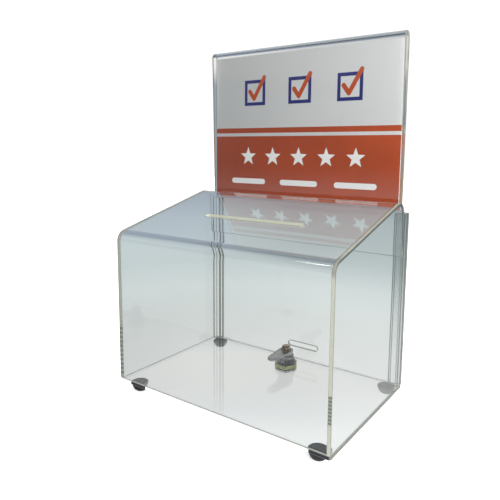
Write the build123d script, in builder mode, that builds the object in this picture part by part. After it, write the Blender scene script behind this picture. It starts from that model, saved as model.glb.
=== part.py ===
from build123d import *
import os
from math import asin, cos, radians, sin, tan

# A clear acrylic ballot box with a sloping slotted top, a back panel that slides up in grooves
# and ends in a folded sleeve for a card, and a cam lock that stands through the floor.
# Millimetres. X runs from left to right as seen from the front, Y from front to back, Z up.
# The origin is the middle of the footprint, on the surface that the feet stand on.

# Card and what is built round it
card_width = 210.0
card_height = 148.0
card_thickness = 0.8
card_margin = 1.9  # panel past the card, each side
panel_side_gap = 2.6  # panel's edge to the side wall

# Box
sheet = 3.0
box_depth = 145.5
front_height = 144.0  # floor's underside to where the front and the slope would meet
slope_angle = 15.0
bend_radius = 10.5  # outside of both bends
flap_lean = 5.0  # the rear flap leans back towards its foot
flap_drop = 52.0  # crest to the flap's foot
ledge_step = 0.5  # straight flap between the crest's bend and the ledge
corner_radius = 2.0  # floor's corners, seen from above
polish = 0.3  # rounded-off edges of the cut sheets

# Entry slot
entry_length = 108.0
entry_width = 6.0
entry_setback = 58.0

# Guides and sliding panel
guide_width = 9.2
slide_gap = 0.35
lift_gap = 0.3
card_lift = 4.0  # card's foot above the guides
sleeve_headroom = 5.8  # card's head to the top of the sleeve
sleeve_depth = 11.5  # over the fold, outside
fold_radius = 5.0  # outside of the sleeve's fold
card_gap = 0.35
lip_height = 4.3  # card's foot to the free edge of the sleeve

# Cam lock
lock_offset = 1.4
lock_to_panel = 20.8
flange_radius = 11.2
flange_height = 2.6
flange_bevel = 1.0
barrel_radius = 8.9
barrel_height = 15.0
barrel_flats = 16.0
collar_radius = 8.0  # barrel's unthreaded end
collar_height = 3.8
floor_hole_gap = 0.2
nut_flats = 21.8
nut_height = 4.0
nut_bevel_share = 0.16
thread_gap = 0.08
plug_radius = 6.2
plug_gap = 0.05
face_radius = 7.0
face_height = 1.2
face_gap = 0.15
plug_stand = 0.6  # plug's shoulder above the housing
stub_flats = 7.0
stub_gap = 0.05
stub_recess = 0.3  # stub's end below the cam's top
stub_corner = 0.8

# Key way, wafers and springs
keyway_width = 2.2
keyway_length = 7.6
keyway_depth = 14.2
wafer_count = 5
wafer_pitch = 2.3
wafer_thickness = 1.1
wafer_width = 6.5
wafer_first = 2.4  # face disc to the first wafer
wafer_gap = 0.05
wafer_window_width = 3.2
wafer_window_length = 6.6
wafer_shoulder = 1.2
groove_reach = 1.1  # housing's grooves past the plug
spring_radius = 0.5
spring_length = 3.2
spring_gap = 0.08

# Stop washer, cam and its screw
stop_radius = 6.6
stop_thickness = 2.0
stop_lug_width = 3.6
stop_gap = 0.3
rim_width = 1.1
cam_thickness = 2.5
cam_root_radius = 7.3
cam_tip_radius = 5.0
cam_overreach = 5.8  # past the panel when locked
washer_radius = 5.2
washer_thickness = 1.0
washer_split = 1.2
screw_flats = 8.0
screw_head = 3.5
screw_radius = 2.4
screw_length = 7.0
screw_gap = 0.05
screw_bottom_gap = 0.6
head_cone_height = 1.0
head_cone_reach = 1.7  # from the corners inwards

# Cam's slot in the panel
catch_length = 35.0
catch_height = 5.4
catch_offset = 7.1  # past the lock, on the side that the cam comes from

# Feet
foot_radius = 8.0
foot_height = 7.2
foot_cut_share = 0.93  # of the dome's full depth; the rest is cut off flat
foot_bands = 3  # straight bands from rim to flat
foot_side_inset = 13.5
foot_front_inset = 8.0
foot_rear_inset = 9.5
front_left_shift = 6.0  # this foot was stuck on further in than the others

# One overrun serves all cuts
overrun = 1.0

# Widths
panel_width = card_width + 2 * card_margin
inner_width = panel_width + 2 * panel_side_gap
box_width = inner_width + 2 * sheet

# Places along Y
front_y = -box_depth / 2
rear_y = box_depth / 2
rear_guide_y = rear_y - sheet
groove_width = sheet + 2 * slide_gap
front_guide_y = rear_guide_y - groove_width - sheet
panel_rear_y = rear_guide_y - slide_gap
panel_front_y = panel_rear_y - sheet
lock_y = panel_front_y - lock_to_panel

# Heights
floor_bottom = foot_height
floor_top = floor_bottom + sheet
front_top = floor_bottom + front_height
slope = tan(radians(slope_angle))
lean = tan(radians(flap_lean))
flap_foot_y = front_guide_y
crest_y = flap_foot_y - flap_drop * lean
crest_z = front_top + (crest_y - front_y) * slope
flap_foot_z = crest_z - flap_drop
crest_turn = 90 + slope_angle - flap_lean
ledge_drop = bend_radius * tan(radians(crest_turn / 2)) * cos(radians(flap_lean)) + ledge_step
ledge_z = crest_z - ledge_drop
ledge_y = crest_y + ledge_drop * lean
panel_foot_z = floor_top + lift_gap
card_foot_z = ledge_z + card_lift
sleeve_top_z = card_foot_z + card_height + sleeve_headroom
lip_z = card_foot_z + lip_height

# The lock's stack, from the floor's underside up
barrel_top_z = floor_bottom + barrel_height
stop_z = barrel_top_z + plug_stand
cam_z = stop_z + stop_thickness
washer_z = cam_z + cam_thickness
head_z = washer_z + washer_thickness
plug_face_z = floor_bottom - flange_height
wafer_foot_z = plug_face_z + face_height + wafer_first
stub_hole = stub_flats + 2 * stub_gap
lock_axis = Axis((lock_offset, lock_y, 0), (0, 0, 1))
cam_length = lock_to_panel + sheet + cam_overreach
catch_z = cam_z + cam_thickness / 2

os.makedirs("parts", exist_ok=True)


# A level plane with its origin on the lock's axis
def lock_level(height):
    return Plane((lock_offset, lock_y, height))


# Front, slope and rear flap are one bent sheet
rim_corners = [(front_y, floor_top), (front_y, front_top), (crest_y, crest_z)]
with BuildPart() as front_and_top_sheet:
    with BuildSketch(Plane.YZ.offset(-inner_width / 2)):
        with BuildLine():
            outside = FilletPolyline(*rim_corners, (flap_foot_y, flap_foot_z), radius=bend_radius)
            offset(outside, amount=sheet, side=Side.RIGHT)
        make_face()
    extrude(amount=inner_width)
    slot_middle = (0, front_y + entry_setback, front_top + entry_setback * slope)
    slope_plane = Plane(slot_middle, x_dir=(1, 0, 0), z_dir=(0, -slope, 1))
    with BuildSketch(slope_plane):
        SlotOverall(entry_length, entry_width)
    extrude(amount=sheet + overrun, both=True, mode=Mode.SUBTRACT)
front_and_top_sheet.part.label = "front_and_top_sheet"
export_step(front_and_top_sheet.part, "parts/front_and_top_sheet.step")

# The side panels follow the bent sheet and step down to a ledge over the guides
for side, sign in (("left", -1), ("right", 1)):
    with BuildPart() as side_panel:
        with BuildSketch(Plane.YZ.offset(sign * inner_width / 2)):
            with BuildLine():
                rim = FilletPolyline(*rim_corners, (ledge_y, ledge_z), radius=bend_radius)
                Polyline(rim @ 1, (rear_y, ledge_z), (rear_y, floor_top), rim @ 0)
            make_face()
        extrude(amount=sign * sheet)
        outer_face = side_panel.faces().sort_by(Axis.X)[-1 if sign > 0 else 0]
        chamfer(outer_face.edges().filter_by(lambda edge: edge.center().Z > floor_top + sheet), polish)
    side_panel.part.label = f"{side}_side_panel"
    export_step(side_panel.part, f"parts/{side}_side_panel.step")

# Floor, under the walls, with a hole shaped like the lock's barrel
with BuildPart() as floor_panel:
    with BuildSketch(Plane.XY.offset(floor_bottom)):
        outline = Rectangle(box_width, box_depth)
        fillet(outline.vertices(), corner_radius)
    extrude(amount=sheet)
    with BuildSketch(lock_level(floor_bottom)):
        Circle(barrel_radius + floor_hole_gap)
        Rectangle(2 * flange_radius, barrel_flats + 2 * floor_hole_gap, mode=Mode.INTERSECT)
    extrude(amount=sheet, mode=Mode.SUBTRACT)
floor_panel.part.label = "floor_panel"
export_step(floor_panel.part, "parts/floor_panel.step")

# Guide strips inside the side panels: one in front of the sliding panel and one behind it
guide_middle_x = inner_width / 2 - guide_width / 2
guide_rows = (("front", front_guide_y), ("rear", rear_guide_y))
for side, sign in (("left", -1), ("right", 1)):
    for row, near_y in guide_rows:
        with BuildPart() as guide:
            with BuildSketch(Plane.XY.offset(floor_top)):
                with Locations((sign * guide_middle_x, near_y + sheet / 2)):
                    Rectangle(guide_width, sheet)
            extrude(amount=ledge_z - floor_top)
        guide.part.label = f"{side}_{row}_guide"
        export_step(guide.part, f"parts/{side}_{row}_guide.step")

# Sliding back panel: up from the floor, over the fold and down again to the sleeve's free edge.
# The free leg closes towards the panel and holds the card near its foot.
lip_y = panel_front_y - card_thickness - 2 * card_gap - sheet
with BuildPart() as sliding_back_panel:
    with BuildSketch(Plane.YZ.offset(-panel_width / 2)):
        with BuildLine():
            back = FilletPolyline(
                (panel_rear_y, panel_foot_z),
                (panel_rear_y, sleeve_top_z),
                (panel_rear_y - sleeve_depth, sleeve_top_z),
                (lip_y, lip_z),
                radius=fold_radius,
            )
            offset(back, amount=sheet, side=Side.LEFT)
        make_face()
    extrude(amount=panel_width)
    with BuildSketch(Plane.XZ.offset(-panel_front_y)):
        with Locations((lock_offset + catch_offset, catch_z)):
            SlotOverall(catch_length, catch_height)
    extrude(amount=-sheet - overrun, mode=Mode.SUBTRACT)
sliding_back_panel.part.label = "sliding_back_panel"
export_step(sliding_back_panel.part, "parts/sliding_back_panel.step")

# Card, upright against the panel
with BuildPart() as sign_card:
    with BuildSketch(Plane.XZ.offset(-(panel_front_y - card_gap))):
        with Locations((0, card_foot_z + card_height / 2)):
            Rectangle(card_width, card_height)
    extrude(amount=card_thickness)
sign_card.part.label = "sign_card"
export_step(sign_card.part, "parts/sign_card.step")

# Lock housing: flange under the floor, flatted barrel through it, and a raised half rim
# on top that the stop washer's lug turns against
bore_radius = plug_radius + plug_gap
rim_inner = stop_radius + stop_gap
rim_outer = rim_inner + rim_width
rim_start = stop_lug_width / 2 + stop_gap
groove_height = (wafer_count - 1) * wafer_pitch + wafer_thickness + 2 * wafer_gap
with BuildPart() as lock_housing:
    with BuildSketch(lock_level(plug_face_z)):
        Circle(flange_radius)
    extrude(amount=flange_height)
    chamfer(lock_housing.edges().group_by(Axis.Z)[0], flange_bevel)
    with BuildSketch(lock_level(floor_bottom)):
        Circle(barrel_radius)
        Rectangle(2 * barrel_radius, barrel_flats, mode=Mode.INTERSECT)
    extrude(amount=barrel_height - collar_height)
    with BuildSketch(lock_level(barrel_top_z - collar_height)):
        Circle(collar_radius)
    extrude(amount=collar_height)
    with BuildSketch(lock_level(barrel_top_z)):
        Circle(rim_outer)
        Circle(rim_inner, mode=Mode.SUBTRACT)
        open_half = (rim_outer + rim_start, 2 * rim_outer)
        with Locations((-rim_start, 0)):
            Rectangle(*open_half, align=(Align.MIN, Align.CENTER), mode=Mode.SUBTRACT)
    extrude(amount=plug_stand + stop_thickness - stop_gap)
    with BuildSketch(lock_level(plug_face_z)):
        Circle(bore_radius)
    extrude(amount=flange_height + barrel_height, mode=Mode.SUBTRACT)
    with BuildSketch(lock_level(plug_face_z)):
        Circle(face_radius + face_gap)
    extrude(amount=face_height + face_gap, mode=Mode.SUBTRACT)
    with BuildSketch(lock_level(wafer_foot_z - wafer_gap)):
        Rectangle(wafer_width + 2 * wafer_gap, 2 * (plug_radius + groove_reach))
    extrude(amount=groove_height, mode=Mode.SUBTRACT)
lock_housing.part.label = "lock_housing"
export_step(lock_housing.part, "parts/lock_housing.step")

# Nut that clamps the floor against the flange, both faces turned to a cone at the corners
nut_corner = nut_flats / 2 / cos(radians(30))
nut_plane = Plane((lock_offset, lock_y, floor_top), x_dir=(1, 0, 0), z_dir=(0, -1, 0))
nut_bevel = nut_height * nut_bevel_share
with BuildPart() as lock_nut:
    with BuildSketch(lock_level(floor_top)):
        RegularPolygon(nut_flats / 2, 6, major_radius=False)
        Circle(barrel_radius + thread_gap, mode=Mode.SUBTRACT)
    extrude(amount=nut_height)
    with BuildSketch(nut_plane):
        with BuildLine():
            Polyline(
                (0, 0),
                (nut_corner - nut_bevel, 0),
                (nut_corner, nut_bevel),
                (nut_corner, nut_height - nut_bevel),
                (nut_corner - nut_bevel, nut_height),
                (0, nut_height),
                close=True,
            )
        make_face()
    revolve(axis=lock_axis, mode=Mode.INTERSECT)
lock_nut.part.label = "lock_nut"
export_step(lock_nut.part, "parts/lock_nut.step")

# Plug: face disc, round core with its keyway and wafer slots, and a square stub for the cam
pocket_width = 2 * (spring_radius + spring_gap)
pocket_length = spring_length + wafer_shoulder + 3 * spring_gap
pocket_x = wafer_width / 2 + wafer_gap + pocket_width / 2
stub_height = stop_thickness + cam_thickness - stub_recess
screw_hole_depth = screw_length - washer_thickness - stub_recess + screw_bottom_gap
with BuildPart() as lock_plug:
    with BuildSketch(lock_level(plug_face_z)):
        Circle(face_radius)
    extrude(amount=face_height)
    with BuildSketch(lock_level(plug_face_z + face_height)):
        Circle(plug_radius)
    extrude(amount=stop_z - plug_face_z - face_height)
    with BuildSketch(lock_level(stop_z)):
        RectangleRounded(stub_flats, stub_flats, stub_corner)
    extrude(amount=stub_height)
    with BuildSketch(lock_level(stop_z + stub_height)):
        Circle(screw_radius + screw_gap)
    extrude(amount=-screw_hole_depth, mode=Mode.SUBTRACT)
    with BuildSketch(lock_level(plug_face_z)):
        Rectangle(keyway_width, keyway_length)
    extrude(amount=keyway_depth, mode=Mode.SUBTRACT)
    for index in range(wafer_count):
        with BuildSketch(lock_level(wafer_foot_z + index * wafer_pitch - wafer_gap)):
            Rectangle(wafer_width + 2 * wafer_gap, 2 * plug_radius)
            with Locations((pocket_x, 0)):
                Rectangle(pocket_width, pocket_length)
        extrude(amount=wafer_thickness + 2 * wafer_gap, mode=Mode.SUBTRACT)
lock_plug.part.label = "lock_plug"
export_step(lock_plug.part, "parts/lock_plug.step")

# Wafers, drawn in as a key holds them, each with a window for the key and a shoulder
# that its spring pushes on
shoulder_y = pocket_length / 2 - spring_gap - wafer_shoulder / 2
with BuildPart() as lock_wafers:
    for index in range(wafer_count):
        with BuildSketch(lock_level(wafer_foot_z + index * wafer_pitch)):
            Circle(plug_radius)
            Rectangle(wafer_width, 2 * plug_radius, mode=Mode.INTERSECT)
            with Locations((pocket_x - spring_gap - wafer_gap, shoulder_y)):
                Rectangle(pocket_width, wafer_shoulder)
            Rectangle(wafer_window_width, wafer_window_length, mode=Mode.SUBTRACT)
        extrude(amount=wafer_thickness)
lock_wafers.part.label = "lock_wafers"
export_step(lock_wafers.part, "parts/lock_wafers.step")

# Springs, one beside each wafer, drawn as their closely wound outer shape
spring_foot = spring_gap - pocket_length / 2
with BuildPart() as wafer_springs:
    for index in range(wafer_count):
        middle_z = wafer_foot_z + index * wafer_pitch + wafer_thickness / 2
        with BuildSketch(Plane.XZ.offset(-lock_y - spring_foot)):
            with Locations((lock_offset + pocket_x, middle_z)):
                Circle(spring_radius)
        extrude(amount=-spring_length)
wafer_springs.part.label = "wafer_springs"
export_step(wafer_springs.part, "parts/wafer_springs.step")

# Stop washer, its lug towards the front when the lock is open
with BuildPart() as stop_washer:
    with BuildSketch(lock_level(stop_z)):
        Circle(stop_radius)
        Rectangle(stop_lug_width, rim_outer, align=(Align.CENTER, Align.MAX))
        RectangleRounded(stub_hole, stub_hole, stub_corner, mode=Mode.SUBTRACT)
    extrude(amount=stop_thickness)
stop_washer.part.label = "stop_washer"
export_step(stop_washer.part, "parts/stop_washer.step")

# Cam, tapering a little from its round root to its round tip
with BuildPart() as lock_cam:
    with BuildSketch(lock_level(cam_z)):
        Circle(cam_root_radius)
        with Locations((0, cam_tip_radius - cam_length)):
            Circle(cam_tip_radius)
        make_hull()
        RectangleRounded(stub_hole, stub_hole, stub_corner, mode=Mode.SUBTRACT)
    extrude(amount=cam_thickness)
lock_cam.part.label = "lock_cam"
export_step(lock_cam.part, "parts/lock_cam.step")

# Split spring washer between cam and screw
with BuildPart() as cam_washer:
    with BuildSketch(lock_level(washer_z)):
        Circle(washer_radius)
        Circle(screw_radius + stop_gap, mode=Mode.SUBTRACT)
        Rectangle(washer_radius, washer_split, align=(Align.MIN, Align.CENTER), mode=Mode.SUBTRACT)
    extrude(amount=washer_thickness)
cam_washer.part.label = "cam_washer"
export_step(cam_washer.part, "parts/cam_washer.step")

# Hexagon head screw, the top of its head turned to a cone
screw_corner = screw_flats / 2 / cos(radians(30))
screw_plane = Plane((lock_offset, lock_y, head_z), x_dir=(1, 0, 0), z_dir=(0, -1, 0))
with BuildPart() as cam_screw:
    with BuildSketch(lock_level(head_z)):
        RegularPolygon(screw_flats / 2, 6, major_radius=False)
    extrude(amount=screw_head)
    with BuildSketch(screw_plane):
        with BuildLine():
            Polyline(
                (0, 0),
                (screw_corner, 0),
                (screw_corner, screw_head - head_cone_height),
                (screw_corner - head_cone_reach, screw_head),
                (0, screw_head),
                close=True,
            )
        make_face()
    revolve(axis=lock_axis, mode=Mode.INTERSECT)
    with BuildSketch(lock_level(head_z)):
        Circle(screw_radius)
    extrude(amount=-screw_length)
cam_screw.part.label = "cam_screw"
export_step(cam_screw.part, "parts/cam_screw.step")

# Four domed feet, each stuck on by its flat side. The dome is a half ellipse turned in straight bands.
dome_depth = foot_height / foot_cut_share
dome_turn = asin(foot_cut_share) / foot_bands
dome = []
for band in range(foot_bands + 1):
    dome.append((foot_radius * cos(band * dome_turn), foot_height - dome_depth * sin(band * dome_turn)))
foot_x = box_width / 2 - foot_side_inset
front_foot_y = front_y + foot_front_inset
rear_foot_y = rear_y - foot_rear_inset
foot_places = {
    "front_left": (front_left_shift - foot_x, front_foot_y),
    "front_right": (foot_x, front_foot_y),
    "rear_left": (-foot_x, rear_foot_y),
    "rear_right": (foot_x, rear_foot_y),
}
for corner, (middle_x, middle_y) in foot_places.items():
    with BuildPart() as foot:
        with BuildSketch(Plane((middle_x, middle_y, 0), x_dir=(1, 0, 0), z_dir=(0, -1, 0))):
            with BuildLine():
                Polyline((0, foot_height), *dome, (0, 0), close=True)
            make_face()
        revolve(axis=Axis((middle_x, middle_y, 0), (0, 0, 1)))
    foot.part.label = f"{corner}_foot"
    export_step(foot.part, f"parts/{corner}_foot.step")
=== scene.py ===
from math import acos, asin, cos, pi, radians, sin, tan

import bmesh
import bpy
from mathutils import Matrix, Vector


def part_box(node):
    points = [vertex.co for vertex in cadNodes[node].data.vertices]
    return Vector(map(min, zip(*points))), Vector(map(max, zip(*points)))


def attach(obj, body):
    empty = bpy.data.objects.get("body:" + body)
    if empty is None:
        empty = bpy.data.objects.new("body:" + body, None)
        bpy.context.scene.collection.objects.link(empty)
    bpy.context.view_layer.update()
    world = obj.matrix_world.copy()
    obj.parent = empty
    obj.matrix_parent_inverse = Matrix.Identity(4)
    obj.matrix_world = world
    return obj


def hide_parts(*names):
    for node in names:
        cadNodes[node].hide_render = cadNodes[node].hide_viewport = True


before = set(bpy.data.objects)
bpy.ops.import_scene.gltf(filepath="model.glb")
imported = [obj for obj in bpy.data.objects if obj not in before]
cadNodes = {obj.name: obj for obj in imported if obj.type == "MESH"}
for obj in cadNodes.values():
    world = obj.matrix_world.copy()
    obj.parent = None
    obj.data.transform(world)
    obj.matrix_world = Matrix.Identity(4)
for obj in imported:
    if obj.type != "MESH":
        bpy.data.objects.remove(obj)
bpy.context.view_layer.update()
mm = 0.001
pinHole = 0.02 * mm  # a turned profile starts and ends this far from its axis


# Camera, a little above the box's crest and to its right
camera = {
    "place": (266.6 * mm, -384.75 * mm, 227.7 * mm),
    "azimuth": 34.70,  # degrees
    "elevation": 7.60,
    "roll": 0.54,
    "lens": 37.17,
    "shiftX": -0.023,
    "shiftY": -0.061,
}


def makeCamera():
    azimuth, elevation, roll = (radians(camera[key]) for key in ("azimuth", "elevation", "roll"))
    level = Vector((cos(azimuth), sin(azimuth), 0))
    forward = Vector((-sin(azimuth) * cos(elevation), cos(azimuth) * cos(elevation), -sin(elevation)))
    right = level * cos(roll) + level.cross(forward) * sin(roll)
    up = right.cross(forward)
    lens = bpy.data.cameras.new("camera")
    lens.lens = camera["lens"]
    lens.shift_x = camera["shiftX"]
    lens.shift_y = camera["shiftY"]
    eye = bpy.data.objects.new("camera", lens)
    eye.matrix_world = Matrix.Translation(camera["place"]) @ Matrix((right, up, -forward)).transposed().to_4x4()
    bpy.context.scene.collection.objects.link(eye)
    bpy.context.scene.camera = eye


makeCamera()
print("camera placed")


# Shader maths: a wire is one socket, and an expression on wires adds its nodes
class Wire:
    def __init__(self, socket):
        self.socket = socket

    def tree(self):
        return self.socket.id_data

    def maths(self, operation, *others, flip=False):
        values = [self, *others]
        if flip:
            values.reverse()
        kind = "ShaderNodeVectorMath" if self.socket.type == "VECTOR" else "ShaderNodeMath"
        return addNode(self.tree(), kind, {"operation": operation}, dict(enumerate(values)))

    def __add__(self, other):
        return self.maths("ADD", other)

    def __radd__(self, other):
        return self.maths("ADD", other)

    def __sub__(self, other):
        return self.maths("SUBTRACT", other)

    def __rsub__(self, other):
        return self.maths("SUBTRACT", other, flip=True)

    def __mul__(self, other):
        return self.maths("MULTIPLY", other)

    def __rmul__(self, other):
        return self.maths("MULTIPLY", other)

    def __truediv__(self, other):
        return self.maths("DIVIDE", other)

    def __abs__(self):
        return self.maths("ABSOLUTE")

    def larger(self, other):
        return self.maths("MAXIMUM", other)

    def smaller(self, other):
        return self.maths("MINIMUM", other)

    def root(self):
        return self.maths("SQRT")

    def between(self, low, high, smooth=True):
        # 0 below low, 1 above high
        kind = "SMOOTHSTEP" if smooth else "LINEAR"
        inputs = {"Value": self, "From Min": low, "From Max": high}
        return addNode(self.tree(), "ShaderNodeMapRange", {"interpolation_type": kind}, inputs)

    def clamped(self):
        return self.between(0.0, 1.0, smooth=False)


def addNode(tree, kind, settings=None, inputs=None, output=0):
    node = tree.nodes.new(kind)
    for name, value in (settings or {}).items():
        if name == "stops":
            ramp = node.color_ramp
            while len(ramp.elements) < len(value):
                ramp.elements.new(0.5)
            for element, (place, colour) in zip(ramp.elements, value):
                element.position = place
                element.color = (*colour, 1.0)
        else:
            setattr(node, name, value)
    for name, value in (inputs or {}).items():
        socket = node.inputs[name]
        if isinstance(value, Wire):
            tree.links.new(value.socket, socket)
        elif isinstance(value, tuple) and socket.type == "RGBA":
            socket.default_value = (*value, 1.0)
        else:
            socket.default_value = value
    return Wire(node.outputs[output]) if node.outputs else None


def mixColours(factor, first, second):
    # 6 and 7 are the colour inputs of a Mix node, and 2 is its colour output
    return addNode(factor.tree(), "ShaderNodeMix", {"data_type": "RGBA"}, {0: factor, 6: first, 7: second}, 2)


# A material in the making, with the shader nodes that the pieces share
class Finish:
    names = {
        "colour": "Base Color",
        "roughness": "Roughness",
        "metallic": "Metallic",
        "transmission": "Transmission Weight",
        "ior": "IOR",
        "coat": "Coat Weight",
        "coatRoughness": "Coat Roughness",
        "specular": "Specular IOR Level",
        "glow": "Emission Color",
        "glowStrength": "Emission Strength",
        "normal": "Normal",
    }

    def __init__(self, name):
        self.material = bpy.data.materials.new(name)
        self.material.use_nodes = True
        self.tree = self.material.node_tree
        self.tree.nodes.clear()
        self.place = addNode(self.tree, "ShaderNodeTexCoord", output="Object")

    def add(self, kind, settings=None, inputs=None, output=0):
        return addNode(self.tree, kind, settings, inputs, output)

    def axes(self, wire=None):
        split = self.add("ShaderNodeSeparateXYZ", None, {0: wire or self.place}).socket.node
        return [Wire(socket) for socket in split.outputs]

    def noise(self, scale, detail=3.0, roughness=0.5, stretch=None):
        vector = self.place * stretch if stretch else self.place
        inputs = {"Vector": vector, "Scale": scale, "Detail": detail, "Roughness": roughness}
        return self.add("ShaderNodeTexNoise", None, inputs)

    def bump(self, height, distance, strength=1.0):
        inputs = {"Height": height, "Distance": distance, "Strength": strength}
        return self.add("ShaderNodeBump", None, inputs)

    def principled(self, **values):
        inputs = {self.names[key]: value for key, value in values.items()}
        return self.done(self.add("ShaderNodeBsdfPrincipled", None, inputs))

    def done(self, shader):
        self.add("ShaderNodeOutputMaterial", None, {"Surface": shader})
        return self.material


# Stage: a pale floor, and a soft grey surround that only shows in and through the clear sheets
stage = {
    "floorRadius": 4.0,
    "floorColour": (1.0, 1.0, 1.0),
    "floorGlow": 0.35,
    "surroundRadius": 1.30,
    "surroundHeight": 1.60,
    "surroundLift": 0.3 * mm,
    "surroundRings": (0.0, 0.25, 0.5, 1.0),  # shares of its radius
    "surroundColours": [  # by the distance outwards and up, in metres
        (0.00, (0.78, 0.79, 0.78)),
        (0.10, (0.78, 0.79, 0.78)),
        (0.25, (0.72, 0.76, 0.755)),
        (0.40, (0.72, 0.775, 0.775)),
        (0.60, (0.57, 0.64, 0.65)),
        (1.30, (0.49, 0.56, 0.59)),
        (1.42, (0.30, 0.34, 0.39)),
        (1.74, (0.32, 0.36, 0.40)),
        (1.80, (0.86, 0.85, 0.83)),
        (1.94, (0.86, 0.85, 0.83)),
        (2.02, (0.35, 0.41, 0.52)),
        (2.90, (0.27, 0.32, 0.41)),
    ],
    "boost": {"base": 0.905, "near": 0.28, "reach": 0.08, "sideNear": 0.7, "sideFar": -0.9, "sideLimit": 0.13},
    "farReach": (0.15, 0.9),  # metres outwards over which the side's light turns from near to far
    "glow": 1.4,
    "darkSide": 0.30,  # share of the wall's light that is left on the camera's side
    "darkReach": (-0.05, 0.30),  # the dark wall sets in over these shares of the radius
    "darkRise": (0.0, 0.15),  # and over these heights in metres
    "lidColour": (0.10, 0.11, 0.13),
    "lidFade": (0.1, 0.001),  # metres below the lid
    "steps": 96,
    "airColour": (1.0, 1.0, 1.0),
    "airStrength": 1.08,
}


def addPiece(name, mesh, body=None, replaced=(), materials=()):
    data = bpy.data.meshes.new(name)
    mesh.normal_update()
    mesh.to_mesh(data)
    mesh.free()
    for material in materials:
        data.materials.append(material)
    piece = bpy.data.objects.new(name, data)
    bpy.context.scene.collection.objects.link(piece)
    if body:
        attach(piece, body)
        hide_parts(*replaced)
    return piece


def lathe(profile, steps, centre=(0, 0), closed=False):
    # a profile of (radius, height) points turned round an upright axis
    mesh = bmesh.new()
    rings = []
    for radius, height in profile:
        turns = [2 * pi * index / steps for index in range(steps)]
        ring = [(centre[0] + radius * cos(turn), centre[1] + radius * sin(turn), height) for turn in turns]
        rings.append([mesh.verts.new(point) for point in ring])
    pairs = list(zip(rings, rings[1:]))
    if closed:
        pairs.append((rings[-1], rings[0]))
    for lower, upper in pairs:
        for index in range(steps):
            after = (index + 1) % steps
            mesh.faces.new((lower[index], lower[after], upper[after], upper[index]))
    return mesh


def makeStage():
    floor = addPiece("floor", lathe([(pinHole, 0.0), (stage["floorRadius"], 0.0)], stage["steps"]))
    floor.data.materials.append(Finish("pale_floor").principled(
        colour=stage["floorColour"], roughness=1.0, specular=0.0,
        glow=stage["floorColour"], glowStrength=stage["floorGlow"]))

    radius, height = stage["surroundRadius"], stage["surroundHeight"]
    profile = [(max(pinHole, radius * share), stage["surroundLift"]) for share in stage["surroundRings"]]
    surround = addPiece("surround", lathe([*profile, (radius, height), (pinHole, height)], stage["steps"]))
    finish = Finish("soft_surround")
    x, y, z = finish.axes()
    outward = (x * x + y * y).root() + z
    stops = [(place / (radius + height), colour) for place, colour in stage["surroundColours"]]
    colour = finish.add("ShaderNodeValToRGB", {"stops": stops}, {0: outward / (radius + height)})
    lid = z.between(*(height - drop for drop in stage["lidFade"]))
    colour = mixColours(lid, colour, stage["lidColour"])
    # brighter in front of the box and close by on its right, darker far off there,
    # and dark walls on the camera's side
    azimuth = radians(camera["azimuth"])
    before = x * sin(azimuth) - y * cos(azimuth)
    sideways = x * cos(azimuth) + y * sin(azimuth)
    boost = stage["boost"]
    limit = boost["sideLimit"]
    bright = before.between(0.0, boost["reach"], smooth=False) * boost["near"] + boost["base"]
    far = outward.between(*stage["farReach"])
    slant = far * (boost["sideFar"] - boost["sideNear"]) + boost["sideNear"]
    bright = bright + sideways.larger(-limit).smaller(limit) * slant
    wall = (before / radius).between(*stage["darkReach"]) * z.between(*stage["darkRise"])
    bright = bright * (1 - wall * (1 - stage["darkSide"]))
    colour = mixColours(1 - bright / stage["glow"], colour, (0.0, 0.0, 0.0))
    inputs = {"Color": colour, "Strength": stage["glow"]}
    surround.data.materials.append(finish.done(finish.add("ShaderNodeEmission", None, inputs)))
    surround.visible_camera = False
    surround.visible_diffuse = False
    surround.visible_shadow = False
    for piece in (floor, surround):
        piece.data.shade_smooth()

    world = bpy.data.worlds.new("studio")
    world.use_nodes = True
    bpy.context.scene.world = world
    air = world.node_tree.nodes["Background"]
    air.inputs["Color"].default_value = (*stage["airColour"], 1.0)
    air.inputs["Strength"].default_value = stage["airStrength"]
    bpy.context.scene.view_settings.view_transform = "Standard"


# Lights for the card and the lock. Only bendLight is mirrored, as the bright streak along the front bend
lights = {
    "overheadLight": {
        "place": (-0.12, 0.23, 1.4), "target": (0, 0, 0.1),
        "size": (0.2, 0.2), "power": 5, "mirrored": False,
    },
    "rightLight": {
        "place": (0.80, -0.50, 0.55), "target": (0.03, 0, 0.2),
        "size": (0.5, 0.5), "power": 12.5, "mirrored": False,
    },
    "bendLight": {
        "place": (-0.463, -0.662, 1.028), "target": (0.096, -0.068, 0.149),
        "size": (0.07, 0.16), "power": 0.003, "spread": 9, "lighting": False,
    },
}


def addLight(name, place, target, size, power, spread=180, mirrored=True, lighting=True):
    lamp = bpy.data.lights.new(name, "AREA")
    lamp.shape = "RECTANGLE"
    lamp.size, lamp.size_y = size
    lamp.energy = power
    lamp.spread = radians(spread)
    piece = bpy.data.objects.new(name, lamp)
    piece.location = place
    piece.rotation_euler = (Vector(target) - Vector(place)).to_track_quat("-Z", "Y").to_euler()
    piece.visible_glossy = mirrored
    piece.visible_transmission = False
    piece.visible_diffuse = lighting
    bpy.context.scene.collection.objects.link(piece)


makeStage()
for name, light in lights.items():
    addLight(name, **light)
print("stage and lights made")


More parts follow.
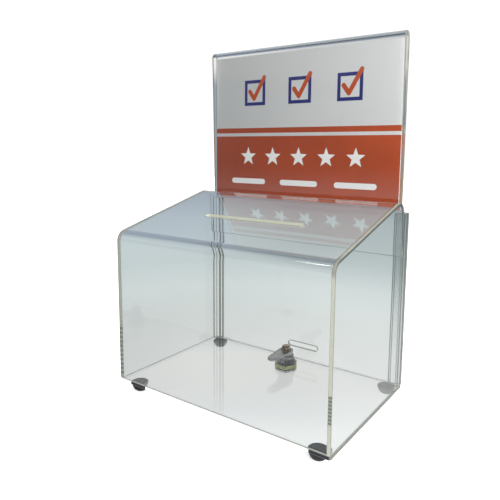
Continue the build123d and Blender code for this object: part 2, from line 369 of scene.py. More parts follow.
# Clear acrylic and its cut edges
acrylic = {
    "colour": (0.985, 0.995, 0.99),
    "leftStrips": (0.985, 0.995, 0.99),
    # painted shade: the right guide strips drawn greyer than the same clear acrylic on the left
    "rightStrips": (0.67, 0.705, 0.70),
    "stripFade": (30 * mm, 140 * mm),  # the strips' colour sets in over these heights; on the right ones it is painted shade
    "ior": 1.49,
    "wipeScale": 70.0,
    "wipeLimits": (0.62, 0.85),
    "wipeRoughness": 0.03,
}
edge = {
    "pale": (0.56, 0.57, 0.46),
    "mid": (0.40, 0.41, 0.34),
    "dark": (0.07, 0.08, 0.065),
    "black": (0.015, 0.015, 0.018),
    "glued": (0.28, 0.29, 0.24),
    "white": (0.95, 0.95, 0.94),
    "line": (0.40, 0.40, 0.39),
    "cardReflection": (0.26, 0.10, 0.03),  # painted reflection of the printed card's orange in the sleeve's edge
    "cardReflectionShare": 0.7,
    "fade": 2 * mm,  # over which the painted card reflection and each worn part set in
    "rimLimits": (0.55, 1.0),  # shares of half the thickness, between which the darker rim sets in
    "rimShare": 0.8,
    "rimless": 60 * mm,  # stands for half the thickness where no rim shows
    "sawScale": 900.0,
    "sawLimits": (0.35, 0.75),
    "sawShare": 0.5,
    "sawDepth": 0.05 * mm,
    "sawRoughness": 0.2,
    "roughness": 0.25,
    "stretchScale": 38.0,
    "stretchLimits": (0.56, 0.70),
    "dashLimits": (0.35, 0.50),
    "dashWobble": 0.3,
    "gluedLimits": (0.3, 0.8),
    "gluedShare": 0.4,
    "clearness": 0.35,
    "coat": 0.4,
    "coatRoughness": 0.1,
    "slopeDrops": (16 * mm, 2 * mm),  # below the slope's front, between which painted shade darkens the right glued end
    "slopeShare": 0.96,
}
# painted light and shade: how bright each cut edge shows, as a factor on its colours
edgeLightAndShade = {
    "top": 1.45,
    "flap": 0.2,
    "floor": 0.27,
    "paleFloor": 0.95,
    "leftStrips": 0.22,
    "rightStrips": 0.09,
    "backPanel": 0.5,
}
# each side panel's cut edge: its painted light and shade, and its dashes
sideEdges = {
    "left": {"lightAndShade": 0.50, "dashes": (12 * mm, 64 * mm, 4.4 * mm, 0.0, 0.95)},  # low, high, pitch, base and depth
    "right": {"lightAndShade": 0.74, "dashes": (33 * mm, 57 * mm, 2.8 * mm, 0.4, 0.5)},
}
frontEdge = {
    "footHalf": 10.2 * mm,  # half the width of a front foot's painted image on the floor's front edge
    "footShift": -0.6 * mm,
    "footLimits": (0.90, 1.0),
    "rimLimits": (0.55, 0.75),
    "rimShare": 0.85,
    "rimOverFoot": 0.12,
    "wearScale": 60.0,
    "wearLimits": (0.5, 0.8),
    "wearShare": 0.15,
    "roughness": 0.3,
    "specular": 0.15,
}


def clearAcrylic(name, colour, fade=None):
    finish = Finish(name)
    if fade:
        colour = mixColours(finish.axes()[2].between(*fade), acrylic["colour"], colour)
    wipes = finish.noise(acrylic["wipeScale"], 4.0, 0.6, stretch=(1.0, 1.0, 0.3)).between(*acrylic["wipeLimits"])
    roughness = wipes * acrylic["wipeRoughness"]
    return finish.principled(colour=colour, roughness=roughness, transmission=1.0, ior=acrylic["ior"])


def dashMask(z, sawn, low, high, pitch, base, depth):
    # dark marks one above another along a worn part of an upright edge
    inside = z.between(low, low + edge["fade"]) * (1 - z.between(high - edge["fade"], high))
    wave = (z / pitch + sawn * edge["dashWobble"]).maths("FRACT")
    return inside * (wave.between(*edge["dashLimits"]) * depth + base)


def cutEdge(name, axis, middle, half, lightAndShade, dashes=(), shades=("pale", "mid", "dark"), soiled=0.4, cardReflected=()):
    # paler along the middle of the sheet's thickness, with saw marks, darker stretches and a few dashed ones
    finish = Finish(name)
    axes = dict(zip("XYZ", finish.axes()))
    # painted light and shade: the edge's colours scaled by how bright this edge shows
    pale, mid, dark = (tuple(part * lightAndShade for part in edge[key]) for key in shades)
    rim = (abs(axes[axis] - middle) / half).between(*edge["rimLimits"])
    sawn = finish.noise(edge["sawScale"])
    stretches = finish.noise(edge["stretchScale"], 2.0).between(*edge["stretchLimits"])
    colour = mixColours(sawn.between(*edge["sawLimits"]) * edge["sawShare"], pale, mid)
    colour = mixColours(rim * edge["rimShare"], colour, mid)
    colour = mixColours(stretches * soiled, colour, dark)
    if dashes:
        colour = mixColours(dashMask(axes["Z"], sawn, *dashes), colour, edge["dark"])
    # painted reflection: the card's orange drawn on the edge over the height of its orange field
    if cardReflected:
        low, high = cardReflected
        within = axes["Z"].between(low - edge["fade"], low) * (1 - axes["Z"].between(high, high + edge["fade"]))
        colour = mixColours(within * edge["cardReflectionShare"], colour, edge["cardReflection"])
    return finish.principled(
        colour=colour, roughness=sawn * edge["sawRoughness"] + edge["roughness"],
        transmission=edge["clearness"], ior=acrylic["ior"], normal=finish.bump(sawn, edge["sawDepth"]),
        coat=edge["coat"], coatRoughness=edge["coatRoughness"])


def sheetEnds():
    # the bent sheet's two ends, glued to the side panels: the left one worn beside the front,
    # the right one darkened by painted shade beside the slope
    finish = Finish("glued_ends")
    x, z = finish.axes()[::2]
    sawn = finish.noise(edge["sawScale"])
    right = x.between(-0.01, 0.01)  # 0 at the left end, 1 at the right one
    colour = mixColours(sawn.between(*edge["gluedLimits"]) * edge["gluedShare"], edge["glued"], edge["mid"])
    # painted shade on the right end beside the slope
    shaded = z.between(*(frontTop - drop for drop in edge["slopeDrops"])) * right
    colour = mixColours(shaded * edge["slopeShare"], colour, edge["black"])
    worn = dashMask(z, sawn, *sideEdges["left"]["dashes"]) * (1 - right)
    colour = mixColours(worn, colour, edge["dark"])
    return finish.principled(colour=colour, roughness=sawn * edge["sawRoughness"] + edge["roughness"])


def polishedEdge(middle):
    # the floor's front edge: white between two thin grey lines, with a painted image of the front feet as seen
    # through it
    finish = Finish("polished_edge_floor")
    x, z = finish.axes()[::2]
    rim = (abs(z - middle) / (thickness / 2)).between(*frontEdge["rimLimits"])
    colour = mixColours(rim * frontEdge["rimShare"], edge["white"], edge["line"])
    wear = finish.noise(frontEdge["wearScale"]).between(*frontEdge["wearLimits"])
    colour = mixColours(wear * frontEdge["wearShare"], colour, edge["line"])
    # painted refraction: each front foot drawn dark on the edge, shifted along it by the camera's azimuth
    for node in ("front_left_foot", "front_right_foot"):
        low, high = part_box(node)
        behind = (low.y + high.y) / 2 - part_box("floor_panel")[0].y
        paintedFootX = (low.x + high.x) / 2 + behind * tan(radians(camera["azimuth"]))
        offset = abs(x - paintedFootX - frontEdge["footShift"]) / frontEdge["footHalf"]
        foot = 1 - offset.between(*frontEdge["footLimits"])
        colour = mixColours(foot * (1 - rim * frontEdge["rimOverFoot"]), colour, edge["black"])
    return finish.principled(colour=colour, roughness=frontEdge["roughness"], specular=frontEdge["specular"])


clear = clearAcrylic("clear_acrylic", acrylic["colour"])
stripClear = {}
for side in ("left", "right"):
    stripClear[side] = clearAcrylic(side + "_strip_acrylic", acrylic[side + "Strips"], acrylic["stripFade"])
print("clear acrylic mixed")


# Clear sheets
sheets = {
    "thickness": 3.0 * mm,
    "bendRadius": 10.5 * mm,
    "bendEase": 0.3,  # share of the front bend over which its curve sets in, and again over which it fades
    "easedRadius": 9.87 * mm,
    "bendSteps": 32,
    "frontHeight": 144.0 * mm,  # floor's underside to where front and slope would meet
    "slope": 15.0,  # degrees
    "flapLean": 5.0,
    "flapDrop": 52.0 * mm,
    "glueLine": 0.03 * mm,
    "polish": 0.22 * mm,
    "stripPolish": 0.45 * mm,
    "panelPolish": 0.32 * mm,
    "polishAngle": 35.0,  # degrees; edges blunter than this stay as they are
    "floorCorner": 2.0 * mm,
    "cornerSteps": 8,
    "facing": 0.9,  # share of a cut face's normal that has to lie along an axis
}
thickness = sheets["thickness"]
glueLine = sheets["glueLine"]


def bendPoints(corner, first, inward, turn, radius, steps, ease):
    # a bend whose curve sets in and fades evenly; with no ease it is a plain arc
    def heading(share):
        if share > 0.5:
            return turn - heading(1 - share)
        if share < ease:
            return turn * share * share / (2 * ease * (1 - ease))
        return turn * (share - ease / 2) / (1 - ease)

    places = [Vector((0, 0))]
    for index in range(steps):
        angle = heading((index + 0.5) / steps)
        step = radius * turn / (1 - ease) / steps
        places.append(places[-1] + (first * cos(angle) + inward * sin(angle)) * step)
    start = corner - first * (places[-1].length / (2 * cos(turn / 2)))
    angles = [heading(index / steps) for index in range(steps + 1)]
    return [(start + place, inward * cos(angle) - first * sin(angle)) for place, angle in zip(places, angles)]


def roundedPath(corners, radius, steps, eased=None):
    # points along a line of straight runs and bends, each with the direction towards the inside;
    # eased is the first bend's own radius and ease
    corners = [Vector(corner) for corner in corners]
    first = (corners[1] - corners[0]).normalized()
    second = (corners[2] - corners[1]).normalized()
    side = 1 if first.cross(second) > 0 else -1

    def sideways(direction):
        return Vector((-direction.y, direction.x)) * side

    path = [(corners[0], sideways(first))]
    for before, corner, after in zip(corners, corners[1:], corners[2:]):
        first = (corner - before).normalized()
        second = (after - corner).normalized()
        bend = (radius, 0.0) if eased is None or len(path) > 1 else eased
        path += bendPoints(corner, first, sideways(first), first.angle(second), bend[0], steps, bend[1])
    path.append((corners[-1], sideways(second)))
    return path


def bentSheet(path, low, high, endSlot):
    # a sheet bent along a path in the YZ plane, from low to high along X
    mesh = bmesh.new()
    rows = []
    for x in (low, high):
        outer = [mesh.verts.new((x, point.x, point.y)) for point, inward in path]
        inner = [mesh.verts.new((x, *(point + inward * thickness))) for point, inward in path]
        rows.append((outer, inner))
    (outerLow, innerLow), (outerHigh, innerHigh) = rows
    for here in range(len(path) - 1):
        after = here + 1
        mesh.faces.new((outerLow[here], outerLow[after], outerHigh[after], outerHigh[here]))
        mesh.faces.new((innerLow[after], innerLow[here], innerHigh[here], innerHigh[after]))
        for outer, inner in rows:
            mesh.faces.new((outer[after], outer[here], inner[here], inner[after])).material_index = endSlot
    for end in (0, -1):
        mesh.faces.new((outerLow[end], outerHigh[end], innerHigh[end], innerLow[end])).material_index = 1
    bmesh.ops.recalc_face_normals(mesh, faces=mesh.faces)
    return mesh


def flatPlate(outline, axis, low, high):
    # a plate with an outline in the plane across the axis, its cut edges given the second material
    mesh = bmesh.new()
    order = {"X": (2, 0, 1), "Y": (0, 2, 1), "Z": (0, 1, 2)}[axis]

    def corner(point, depth):
        values = (*point, depth)
        return mesh.verts.new([values[place] for place in order])

    lower = [corner(point, low) for point in outline]
    upper = [corner(point, high) for point in outline]
    mesh.faces.new(lower)
    mesh.faces.new(upper)
    for index in range(len(outline)):
        after = (index + 1) % len(outline)
        mesh.faces.new((lower[index], lower[after], upper[after], upper[index])).material_index = 1
    bmesh.ops.recalc_face_normals(mesh, faces=mesh.faces)
    return mesh


def roundBar(length, width, reach, matrix, steps=16):
    # a round-ended bar along X, to cut a slot
    outline = []
    for side in (1, -1):
        for index in range(steps + 1):
            turn = -pi / 2 + pi * index / steps
            outline.append((side * ((length - width) / 2 + width / 2 * cos(turn)), side * width / 2 * sin(turn)))
    mesh = flatPlate(outline, "Z", -reach, reach)
    mesh.transform(matrix)
    return mesh


def cutHole(piece, cutterMesh):
    # the hole's walls get the piece's second material, as its cut edges have
    for face in cutterMesh.faces:
        face.material_index = 1
    cutter = addPiece("cutter", cutterMesh, materials=piece.data.materials)
    cut = piece.modifiers.new("hole", "BOOLEAN")
    cut.object = cutter
    cut.operation = "DIFFERENCE"
    cut.solver = "EXACT"
    bpy.context.view_layer.update()
    piece.data = bpy.data.meshes.new_from_object(piece.evaluated_get(bpy.context.evaluated_depsgraph_get()))
    piece.modifiers.clear()
    bpy.data.objects.remove(cutter)


def polishEdges(piece, width, segments=2, slot=-1):
    # slot -1 gives the rounding the material of the faces beside it
    piece.data.shade_smooth()
    bevel = piece.modifiers.new("polish", "BEVEL")
    bevel.width = width
    bevel.segments = segments
    bevel.limit_method = "ANGLE"
    bevel.angle_limit = radians(sheets["polishAngle"])
    bevel.harden_normals = True
    bevel.material = slot


def finishSheet(piece, width=sheets["polish"], slot=-1):
    polishEdges(piece, width, slot=slot)
    piece.visible_shadow = False  # light passes through the clear sheet


# Front, slope and rear flap in one bent sheet, with the entry slot
entry = {
    "length": 108.0 * mm,
    "width": 6.0 * mm,
    "setback": 58.0 * mm,
}
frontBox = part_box("front_and_top_sheet")
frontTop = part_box("floor_panel")[0].z + sheets["frontHeight"]
rise = tan(radians(sheets["slope"]))
lean = tan(radians(sheets["flapLean"]))
crestY = frontBox[1].y - sheets["flapDrop"] * lean
crestZ = frontTop + (crestY - frontBox[0].y) * rise


def frontPath(end):
    # from the floor up the front, over the slope to the crest, and on to a given end
    low = frontBox[0]
    corners = [(low.y, low.z + glueLine), (low.y, frontTop), (crestY, crestZ), end]
    eased = (sheets["easedRadius"], sheets["bendEase"])
    return roundedPath(corners, sheets["bendRadius"], sheets["bendSteps"], eased)


def makeFrontAndTop():
    low, high = frontBox
    flapFoot = crestZ - sheets["flapDrop"]
    mesh = bentSheet(frontPath((high.y, flapFoot)), low.x + glueLine, high.x - glueLine, endSlot=2)
    for face in mesh.faces:
        if face.material_index == 1 and abs(face.calc_center_median().z - flapFoot) < mm:
            face.material_index = 3
    materials = (
        clear,
        cutEdge("cut_edge_top", "Y", low.y + entry["setback"], edge["rimless"], edgeLightAndShade["top"], soiled=0.05),
        sheetEnds(),
        cutEdge("cut_edge_flap", "Y", high.y, edge["rimless"], edgeLightAndShade["flap"]),
    )
    piece = addPiece("clear_front_and_top", mesh, "box", ["front_and_top_sheet"], materials)
    middle = Matrix.Translation((0, low.y + entry["setback"], frontTop + entry["setback"] * rise))
    tilt = Matrix.Rotation(radians(sheets["slope"]), 4, "X")
    cutHole(piece, roundBar(entry["length"], entry["width"], 2 * thickness, middle @ tilt))
    finishSheet(piece)


makeFrontAndTop()
print("front and slope bent, entry slot cut")


def makeSidePanels():
    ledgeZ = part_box("left_rear_guide")[1].z
    ledgeY = crestY + (crestZ - ledgeZ) * lean
    for side in ("left", "right"):
        node = side + "_side_panel"
        low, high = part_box(node)
        outline = [tuple(point) for point, inward in frontPath((ledgeY, ledgeZ))]
        outline += [(high.y, ledgeZ), (high.y, low.z + glueLine)]
        mesh = flatPlate(outline, "X", low.x, high.x)
        middle = (low.x + high.x) / 2
        materials = (clear, cutEdge("cut_edge_" + side, "X", middle, thickness / 2, **sideEdges[side]))
        finishSheet(addPiece("clear_" + node, mesh, "box", [node], materials))


makeSidePanels()
print("side panels cut")


# Cam lock's housing, and the hole that it stands in
lock = {
    "centre": (1.4 * mm, 45.6 * mm),
    "flangeRadius": 11.2 * mm,
    "flangeHeight": 2.6 * mm,
    "flangeBevel": 1.0 * mm,
    "barrelRadius": 8.9 * mm,
    "barrelFlats": 16.0 * mm,
    "barrelHeight": 15.0 * mm,
    "collarRadius": 8.0 * mm,
    "collarHeight": 3.8 * mm,
    "boreRadius": 6.25 * mm,
    "recessRadius": 7.15 * mm,
    "recessDepth": 1.35 * mm,
    "rimWidth": 1.1 * mm,
    "rimHeight": 2.3 * mm,
    "rimStart": 2.1 * mm,
    "rimSunk": 0.2 * mm,
    "rimSteps": 24,
    "pitch": 1.0 * mm,
    "threadDepth": 0.5 * mm,
    "threadRows": 68,
    "collarStep": 0.1 * mm,
    "topBevel": 0.3 * mm,
    "polish": 0.12 * mm,
    "tolerance": 0.01 * mm,
    "holeGap": 0.2 * mm,
    "steps": 72,
}


def makeFloor():
    low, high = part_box("floor_panel")
    corner, steps = sheets["floorCorner"], sheets["cornerSteps"]
    outline = []
    for quarter, (x, y) in enumerate(((high.x, high.y), (low.x, high.y), (low.x, low.y), (high.x, low.y))):
        centreX = x - corner if x > 0 else x + corner
        centreY = y - corner if y > 0 else y + corner
        for index in range(steps + 1):
            turn = pi / 2 * (quarter + index / steps)
            outline.append((centreX + corner * cos(turn), centreY + corner * sin(turn)))
    mesh = flatPlate(outline, "Z", low.z, high.z)
    # painted light on the floor's edges: the front one takes the painted feet, the left and rear ones a paler
    # copy of the cut edge
    for face in mesh.faces:
        if face.normal.y < -sheets["facing"]:
            face.material_index = 2
        elif face.normal.x < -sheets["facing"] or face.normal.y > sheets["facing"]:
            face.material_index = 3
    middle, half = (low.z + high.z) / 2, thickness / 2
    materials = (
        clear,
        cutEdge("cut_edge_floor", "Z", middle, half, edgeLightAndShade["floor"]),
        polishedEdge(middle),
        cutEdge("pale_edge_floor", "Z", middle, half, edgeLightAndShade["paleFloor"], shades=("white", "white", "line")),
    )
    piece = addPiece("clear_floor_panel", mesh, "box", ["floor_panel"], materials)
    reach = lock["barrelRadius"] + lock["holeGap"]
    flat = lock["barrelFlats"] / 2 + lock["holeGap"]
    hole = []
    for index in range(lock["steps"]):
        turn = 2 * pi * index / lock["steps"]
        y = max(-flat, min(flat, reach * sin(turn)))
        hole.append((lock["centre"][0] + reach * cos(turn), lock["centre"][1] + y))
    cutHole(piece, flatPlate(hole, "Z", low.z - thickness, high.z + thickness))
    finishSheet(piece)


def makeGuides():
    for side in ("left", "right"):
        for row in ("front", "rear"):
            node = f"{side}_{row}_guide"
            low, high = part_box(node)
            innerX, outerX = (high.x, low.x + glueLine) if side == "left" else (low.x, high.x - glueLine)
            outline = [(innerX, low.y), (outerX, low.y), (outerX, high.y), (innerX, high.y)]
            mesh = flatPlate(outline, "Z", low.z + glueLine, high.z)
            for face in mesh.faces:
                face.material_index = 1 if face.normal.x * innerX < -sheets["facing"] * abs(innerX) else 0
            middle = (low.y + high.y) / 2
            sawnEdge = cutEdge("cut_edge_" + node, "Y", middle, thickness / 2, edgeLightAndShade[side + "Strips"])
            strip = addPiece("clear_" + node, mesh, "box", [node], (stripClear[side], sawnEdge))
            finishSheet(strip, sheets["stripPolish"], 1)


makeFloor()
makeGuides()
print("floor and guides cut")


# Sliding back panel: one sheet folded over into the card's sleeve, with the cam's slot
backPanel = {
    "foldRadius": 5.0 * mm,
    "foldSteps": 14,
    "sleeveDepth": 11.5 * mm,
    "lipDepth": 7.5 * mm,
    "lipHeight": 4.3 * mm,
    "cardReflectionHeight": 65.0 * mm,
    "catchLength": 35.0 * mm,
    "catchHeight": 5.4 * mm,
    "catchMiddle": (8.5 * mm, 26.05 * mm),  # X and Z
}


def makeBackPanel():
    low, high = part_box("sliding_back_panel")
    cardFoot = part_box("sign_card")[0].z
    corners = [
        (high.y, low.z),
        (high.y, high.z),
        (high.y - backPanel["sleeveDepth"], high.z),
        (high.y - backPanel["lipDepth"], cardFoot + backPanel["lipHeight"]),
    ]
    path = roundedPath(corners, backPanel["foldRadius"], backPanel["foldSteps"])
    mesh = bentSheet(path, low.x, high.x, endSlot=1)
    middle = high.y - thickness / 2
    # painted reflection of the card's orange along the sleeve's edge
    cardReflected = (cardFoot, cardFoot + backPanel["cardReflectionHeight"])
    sawnEdge = cutEdge("cut_edge_back_panel", "Y", middle, thickness, edgeLightAndShade["backPanel"], cardReflected=cardReflected)
    materials = (clear, sawnEdge)
    piece = addPiece("clear_back_panel", mesh, "back_panel", ["sliding_back_panel"], materials)
    x, z = backPanel["catchMiddle"]
    catch = Matrix.Translation((x, middle, z)) @ Matrix.Rotation(pi / 2, 4, "X")
    cutHole(piece, roundBar(backPanel["catchLength"], backPanel["catchHeight"], thickness, catch))
    finishSheet(piece, sheets["panelPolish"], 1)


makeBackPanel()
print("back panel folded")


# Printed card: silver over orange, tick boxes above, stars and bars below, plain white behind
card = {
    "silver": (0.86, 0.85, 0.835),
    "orange": (0.48, 0.068, 0.011),
    "navy": (0.016, 0.020, 0.16),
    "white": (0.88, 0.88, 0.86),
    "silverDip": 0.94,  # share of a colour that is left where its grain or ink is darkest
    "orangeDip": 0.9,
    "paintedLeftShade": 0.74,  # painted shade in the print at its left end, standing in for the weaker light there
    # the print's lengths are in millimetres, and its heights are above the card's foot
    "halfWidth": 105.0,
    "softness": 0.15,
    "fieldTop": 65.3,
    "stripe": (68.6, 73.9),
    "boxes": {"height": 110.0, "pitch": 54.0, "count": 3, "half": 13.0, "line": 3.4},
    "tick": {"points": ((-6.5, 1.5), (-1.0, -6.0), (11.5, 15.0)), "width": 4.4},
    "stars": {"height": 44.0, "pitch": 31.0, "count": 5, "outer": 10.0, "inner": 4.2},
    "bars": {"height": 18.0, "pitch": 62.0, "count": 3, "half": 19.0, "radius": 2.8},
    "grainScale": 260.0,
    "inkScale": 24.0,
    "inkLimits": (0.3, 0.7),
    "roughness": 0.42,
    "grainRoughness": 0.1,
    "foil": 0.25,  # the silver's share of metal
    "coat": 0.1,
}


def repeated(across, pitch, count):
    # the distance from the nearest of a row of places, and a mask of the row's length
    near = (across / pitch + (count % 2) * 0.5 + 100).maths("FRACT") - 0.5  # 100 keeps the sum above zero
    return near * pitch, 1 - (abs(across) / (count * pitch / 2)).between(0.999, 1.001)


def strokeMask(x, y, start, end, width):
    # a round-ended line from start to end
    run, climb = end[0] - start[0], end[1] - start[1]
    along = (((x - start[0]) * run + (y - start[1]) * climb) / (run * run + climb * climb)).clamped()
    offX, offY = x - start[0] - along * run, y - start[1] - along * climb
    return 1 - ((offX * offX + offY * offY).root() / (width / 2)).between(0.93, 1.07)


def starMask(x, y, outer, inner):
    radius = (x * x + y * y).root()
    turn = x.maths("ARCTAN2", y).maths("PINGPONG", pi / 5)
    edgeX, edgeY = inner * sin(pi / 5), outer - inner * cos(pi / 5)
    reach = radius * (turn.maths("COSINE") * edgeX + turn.maths("SINE") * edgeY)
    return 1 - (reach / (outer * edgeX)).between(0.97, 1.03)


def printStep(distance, limit):
    # 0 below the limit and 1 above it, a little softened
    return distance.between(limit - card["softness"], limit + card["softness"])


def printedCard():
    finish = Finish("printed_card")
    x, z = finish.axes()[::2]
    across, up = x / mm, (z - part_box("sign_card")[0].z) / mm
    bottom, top = card["stripe"]
    stripe = printStep(up, bottom) * (1 - printStep(up, top))
    field = (1 - printStep(up, card["fieldTop"])).larger(stripe)
    grain = finish.noise(card["grainScale"], 4.0, 0.6, stretch=(0.12, 1.0, 1.0))
    silver = mixColours(grain, tuple(card["silverDip"] * part for part in card["silver"]), card["silver"])
    ink = finish.noise(card["inkScale"], 2.0).between(*card["inkLimits"])
    orange = mixColours(ink, tuple(card["orangeDip"] * part for part in card["orange"]), card["orange"])
    colour = mixColours(field, silver, orange)
    # painted shade: the print's colours darken towards the card's left end
    fade = (1 - (across / card["halfWidth"] * 0.5 + 0.5).clamped()) * (1 - card["paintedLeftShade"])
    colour = mixColours(fade, colour, (0.0, 0.0, 0.0))

    boxes, tick = card["boxes"], card["tick"]
    near, row = repeated(across, boxes["pitch"], boxes["count"])
    height = up - boxes["height"]
    reach = abs(near).larger(abs(height))
    box = printStep(reach, boxes["half"] - boxes["line"]) * (1 - printStep(reach, boxes["half"])) * row
    start, corner, end = tick["points"]
    downStroke = strokeMask(near, height, start, corner, tick["width"])
    upStroke = strokeMask(near, height, corner, end, tick["width"])
    ticked = downStroke.larger(upStroke) * row
    colour = mixColours(box, colour, card["navy"])
    colour = mixColours(ticked, colour, card["orange"])

    stars, bars = card["stars"], card["bars"]
    near, row = repeated(across, stars["pitch"], stars["count"])
    star = starMask(near, up - stars["height"], stars["outer"], stars["inner"]) * row
    near, row = repeated(across, bars["pitch"], bars["count"])
    ends = (-bars["half"], 0.0), (bars["half"], 0.0)
    bar = strokeMask(near, up - bars["height"], *ends, 2 * bars["radius"]) * row
    colour = mixColours(star.larger(bar), colour, card["white"])

    facing = finish.axes(finish.add("ShaderNodeTexCoord", output="Normal"))
    front = (0 - facing[1]).between(0.4, 0.6)
    colour = mixColours(front, card["white"], colour)
    foil = front * (1 - field) * (1 - box.larger(ticked))
    return finish.principled(
        colour=colour, metallic=foil * card["foil"], roughness=card["roughness"] + grain * card["grainRoughness"],
        coat=card["coat"])


def dress(node, material):
    slots = cadNodes[node].data.materials
    slots.clear()
    slots.append(material)


dress("sign_card", printedCard())
print("card printed")


# Plated and bare metal
metals = {
    "nickel_plate": {"colour": (0.36, 0.36, 0.35), "stainAndGlint": (0.25, 0.24, 0.24), "roughness": 0.15},
    "housing_plate": {"colour": (0.27, 0.265, 0.28), "stainAndGlint": (0.09, 0.085, 0.10), "roughness": 0.24},
    "zinc_yellow": {"colour": (0.46, 0.46, 0.24), "stainAndGlint": (0.30, 0.31, 0.16), "roughness": 0.28},
    # painted light: the flange under the floor is the housing's plating drawn much lighter
    "painted_lit_flange_plate": {"colour": (0.62, 0.62, 0.62), "stainAndGlint": (0.30, 0.30, 0.30), "roughness": 0.10, "marks": 0.2},
    # painted highlight: on the bronzed screw the second colour is bright, so its small spots are painted glints
    # on the dark metal
    "bronzed_steel": {
        "colour": (0.08, 0.052, 0.028), "stainAndGlint": (0.66, 0.47, 0.27), "roughness": 0.11,
        "marks": 0.15, "spots": 620.0,
    },
    "plug_brass": {"colour": (0.72, 0.56, 0.28), "stainAndGlint": (0.55, 0.40, 0.18), "roughness": 0.25},
    "spring_steel": {"colour": (0.50, 0.50, 0.52), "stainAndGlint": (0.35, 0.35, 0.37), "roughness": 0.25},
}
plating = {
    "cloudLimits": (0.40, 0.68),
    "scratchScale": 1400.0,
    "scratchDepth": 0.02 * mm,
    "scratchRoughness": 0.18,
}
metalPieces = {
    "lock_nut": "zinc_yellow",
    "lock_plug": "plug_brass",
    "lock_wafers": "plug_brass",
    "wafer_springs": "spring_steel",
    "stop_washer": "nickel_plate",
    "cam_washer": "bronzed_steel",
    "cam_screw": "bronzed_steel",
}


def platedMetal(name, colour, stainAndGlint, roughness, marks=0.6, spots=220.0):
    finish = Finish(name)
    # the second colour in spots: stains on most metals, painted glints on the bronzed steel
    stainAndGlintSpots = finish.noise(spots, 4.0).between(*plating["cloudLimits"])
    scratches = finish.noise(plating["scratchScale"], 3.0, 0.7, stretch=(0.15, 1.0, 1.0))
    spread = plating["scratchRoughness"]
    return finish.principled(
        colour=mixColours(stainAndGlintSpots, colour, stainAndGlint), metallic=1.0,
        roughness=roughness + scratches * spread - spread / 2,
        normal=finish.bump(scratches, plating["scratchDepth"], marks))


metal = {name: platedMetal(name, **values) for name, values in metals.items()}
for node, name in metalPieces.items():
    dress(node, metal[name])


def cutThread(mesh, floorLow):
    # the barrel's thread, up to its plain collar, and its two flats
    centreX, centreY = lock["centre"]
    flat = lock["barrelFlats"] / 2
    for vertex in mesh.verts:
        away = Vector((vertex.co.x - centreX, vertex.co.y - centreY))
        if vertex.co.z > floorLow + thickness and away.length > lock["collarRadius"] + lock["collarStep"]:
            turn = away.angle_signed(Vector((1, 0))) / (2 * pi)
            phase = (vertex.co.z / lock["pitch"] + turn) % 1
            cut = lock["threadDepth"] * abs(2 * phase - 1)
            away = away.normalized() * (away.length - cut)
        if vertex.co.z > floorLow + lock["tolerance"]:
            away.y = max(-flat, min(flat, away.y))
        vertex.co.x, vertex.co.y = centreX + away.x, centreY + away.y


def halfRim(top):
    # the rim that stops the washer's lug, round half of the collar
    centreX, centreY = lock["centre"]
    outer, inner = lock["collarRadius"], lock["collarRadius"] - lock["rimWidth"]
    start = acos(-lock["rimStart"] / (outer - lock["rimWidth"] / 2))
    steps = lock["rimSteps"]
    arc = [start + (2 * pi - 2 * start) * index / steps for index in range(steps + 1)]
    outline = [(centreX + outer * cos(turn), centreY + outer * sin(turn)) for turn in arc]
    outline += [(centreX + inner * cos(turn), centreY + inner * sin(turn)) for turn in reversed(arc)]
    return flatPlate(outline, "Z", top - lock["rimSunk"], top + lock["rimHeight"])


def makeHousing():
    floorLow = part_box("floor_panel")[0].z
    foot = floorLow - lock["flangeHeight"]
    top = floorLow + lock["barrelHeight"]
    collar = top - lock["collarHeight"]
    recess = foot + lock["recessDepth"]
    rows, bevel = lock["threadRows"], lock["topBevel"]
    rings = [
        (lock["recessRadius"], foot),
        (lock["flangeRadius"] - lock["flangeBevel"], foot),
        (lock["flangeRadius"], foot + lock["flangeBevel"]),
        (lock["flangeRadius"], floorLow),
    ]
    rings += [(lock["barrelRadius"], floorLow + (collar - floorLow) * row / rows) for row in range(rows + 1)]
    rings += [
        (lock["collarRadius"], collar + lock["collarStep"]),
        (lock["collarRadius"], top - bevel),
        (lock["collarRadius"] - bevel, top),
        (lock["boreRadius"], top),
        (lock["boreRadius"], recess),
        (lock["recessRadius"], recess),
    ]
    mesh = lathe(rings, lock["steps"], lock["centre"], closed=True)
    cutThread(mesh, floorLow)
    rim = halfRim(top)
    half = bpy.data.meshes.new("half_rim")
    rim.to_mesh(half)
    rim.free()
    mesh.from_mesh(half)
    bpy.data.meshes.remove(half)
    bmesh.ops.recalc_face_normals(mesh, faces=mesh.faces)
    # the faces below the floor, the flange, take the painted lighter copy of the housing's plating
    for face in mesh.faces:
        face.material_index = 1 if face.calc_center_median().z < floorLow + lock["tolerance"] else 0
    materials = (metal["housing_plate"], metal["painted_lit_flange_plate"])
    piece = addPiece("threaded_lock_housing", mesh, "box", ["lock_housing"], materials)
    polishEdges(piece, lock["polish"], 1)


cam = {
    "rootRadius": 7.3 * mm,
    "tipRadius": 5.0 * mm,
    "length": 29.6 * mm,
    "steps": 28,
    "rounding": 0.45 * mm,
    "roundingSteps": 3,
}


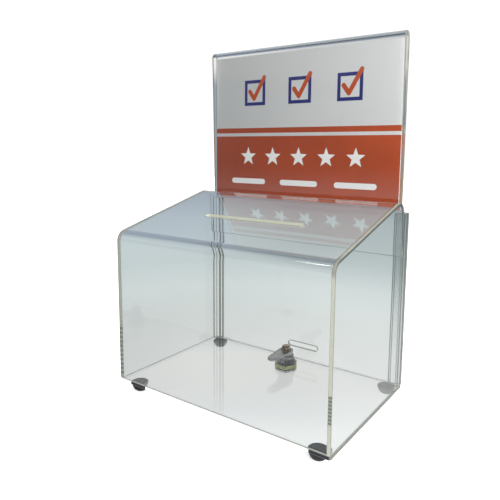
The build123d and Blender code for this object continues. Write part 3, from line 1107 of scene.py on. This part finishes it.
def makeCam():
    low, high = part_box("lock_cam")
    centreX, centreY = lock["centre"]
    distance = cam["length"] - cam["tipRadius"]
    touch = acos((cam["rootRadius"] - cam["tipRadius"]) / distance)
    outline = []
    for radius, middle, start, sweep in (
        (cam["rootRadius"], centreY, touch, 2 * pi - 2 * touch),
        (cam["tipRadius"], centreY - distance, -touch, 2 * touch),
    ):
        for index in range(cam["steps"] + 1):
            turn = -pi / 2 + start + sweep * index / cam["steps"]
            outline.append((centreX + radius * cos(turn), middle + radius * sin(turn)))
    mesh = flatPlate(outline, "Z", low.z, high.z)
    piece = addPiece("pressed_cam", mesh, "lock_core", ["lock_cam"], [metal["nickel_plate"]] * 2)
    polishEdges(piece, cam["rounding"], cam["roundingSteps"])


makeHousing()
makeCam()
print("lock dressed")


# Domed rubber feet
feet = {
    "radius": 8.0 * mm,
    "cutShare": 0.93,  # of the dome's full depth
    "rounding": 0.35 * mm,
    "roundingShare": 0.3,  # of the rounding, as far in and down as the middle of its arc lies
    "rings": 18,
    "steps": 72,
    "rubber": (0.008, 0.008, 0.010),
    "dust": (0.022, 0.022, 0.024),
    "dustScale": 160.0,
    "dustLimits": (0.55, 0.8),
    "grainScale": 1500.0,
    "grainDepth": 0.06 * mm,
    "grainRoughness": 0.25,
    "roughness": 0.45,
    "specular": 0.3,
}


def blackRubber():
    finish = Finish("black_rubber")
    grain = finish.noise(feet["grainScale"])
    dust = finish.noise(feet["dustScale"]).between(*feet["dustLimits"])
    return finish.principled(
        colour=mixColours(dust, feet["rubber"], feet["dust"]), specular=feet["specular"],
        roughness=grain * feet["grainRoughness"] + feet["roughness"],
        normal=finish.bump(grain, feet["grainDepth"]))


def makeFeet():
    rubber = blackRubber()
    radius, rounding = feet["radius"], feet["rounding"]
    inset = rounding * feet["roundingShare"]
    last = asin(feet["cutShare"])
    for node in ("front_left_foot", "front_right_foot", "rear_left_foot", "rear_right_foot"):
        low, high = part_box(node)
        centre = ((low.x + high.x) / 2, (low.y + high.y) / 2)
        depth = (high.z - low.z) / feet["cutShare"]
        profile = [(pinHole, low.z)]
        for index in range(feet["rings"]):
            turn = last * (1 - index / feet["rings"])
            profile.append((radius * cos(turn), high.z - depth * sin(turn)))
        profile += [
            (radius, high.z - rounding),
            (radius - inset, high.z - inset),
            (radius - rounding, high.z),
            (pinHole, high.z),
        ]
        mesh = lathe(profile, feet["steps"], centre)
        bmesh.ops.holes_fill(mesh, edges=[side for side in mesh.edges if side.is_boundary])
        bmesh.ops.recalc_face_normals(mesh, faces=mesh.faces)
        piece = addPiece("domed_" + node, mesh, "box", [node], [rubber])
        piece.data.shade_smooth()


makeFeet()
print("feet stuck on")
